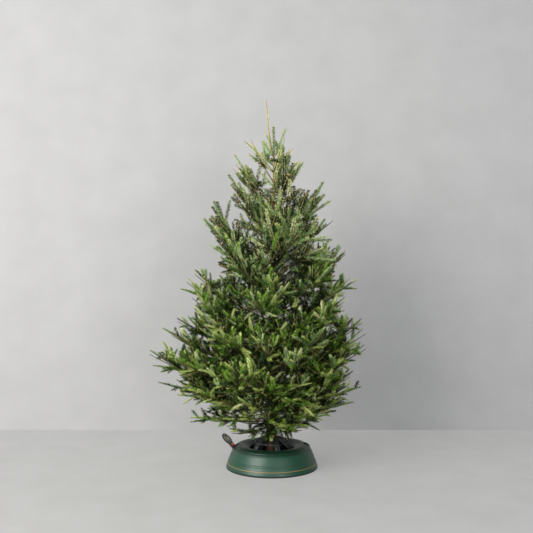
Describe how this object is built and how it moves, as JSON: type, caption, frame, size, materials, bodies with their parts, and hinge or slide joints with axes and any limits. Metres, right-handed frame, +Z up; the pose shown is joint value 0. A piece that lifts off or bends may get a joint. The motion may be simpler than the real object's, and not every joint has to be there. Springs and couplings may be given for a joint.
{
  "type": "cut fir christmas tree in a round water stand",
  "caption": "Freshly cut conical fir with tiers of upswept boughs, clamped upright in a round green plastic water stand with a foot pedal.",
  "frame": {"origin": "centre of the stand's flat underside, on the floor under the trunk", "axes": "+Z up along the trunk, +X to the viewer's right, -Y towards the viewer; the pedal is on the left and leans out to the back left"},
  "size_m": [1.0817, 0.9804, 1.83],
  "materials": {
    "base": "black moulded plastic, satin",
    "shell": "dark green moulded plastic, satin gloss, thin gold line round the foot",
    "tank": "black moulded plastic, inside the stand",
    "arms": "black ribbed plastic, glossy",
    "cable": "twisted steel wire",
    "pedal": "blue-black moulded plastic",
    "inlay": "grey oval band on the pedal",
    "lock": "red indicator",
    "gauge": "black tab on the shoulder",
    "bark": "grey-brown fir bark, tan young wood towards the tip",
    "needles": "flat dark green needles, silvery green below, yellow-green young tips"
  },
  "bodies": {
    "tree_and_stand": {"base_plate": "base", "stand_shell": "shell", "water_tank": "tank", "cable": "cable", "fill_gauge": "gauge", "trunk": "bark", "arm_1": "arms", "arm_2": "arms", "arm_3": "arms", "arm_4": "arms", "arm_5": "arms", "limb_a1": "bark", "limb_a2": "bark", "limb_a3": "bark", "limb_a4": "bark", "foliage_a1": "needles", "foliage_a2": "needles", "foliage_a3": "needles", "foliage_a4": "needles", "foliage_b1": "needles", "foliage_b2": "needles", "foliage_b3": "needles", "foliage_b4": "needles", "foliage_c1": "needles", "foliage_c2": "needles", "foliage_c3": "needles", "foliage_c4": "needles", "foliage_d1": "needles", "foliage_d2": "needles", "foliage_d3": "needles", "foliage_d4": "needles", "foliage_d5": "needles", "foliage_e1": "needles", "foliage_e2": "needles", "foliage_e3": "needles", "foliage_e4": "needles", "foliage_f1": "needles", "foliage_f2": "needles", "foliage_f3": "needles", "foliage_f4": "needles", "foliage_g1": "needles", "foliage_g2": "needles", "foliage_g3": "needles", "foliage_g4": "needles", "foliage_h1": "needles", "foliage_h2": "needles", "foliage_h3": "needles", "foliage_i1": "needles", "foliage_i2": "needles", "foliage_i3": "needles", "foliage_j1": "needles", "foliage_j2": "needles", "foliage_j3": "needles", "foliage_k1": "needles", "foliage_k2": "needles", "foliage_l1": "needles", "foliage_l2": "needles"},
    "pedal": {"pedal": "pedal", "pedal_inlay": "inlay", "pedal_lock": "lock"}
  },
  "joints": [
    {"name": "pedal_hinge", "type": "hinge", "parent": "tree_and_stand", "child": "pedal", "pos_m": [-0.1699, -0.00593, 0.075], "axis": [-0.5, -0.866, 0], "range_deg": [0, 35], "stiffness_Nm_per_rad": 3, "springref_deg": -8.59}
  ]
}
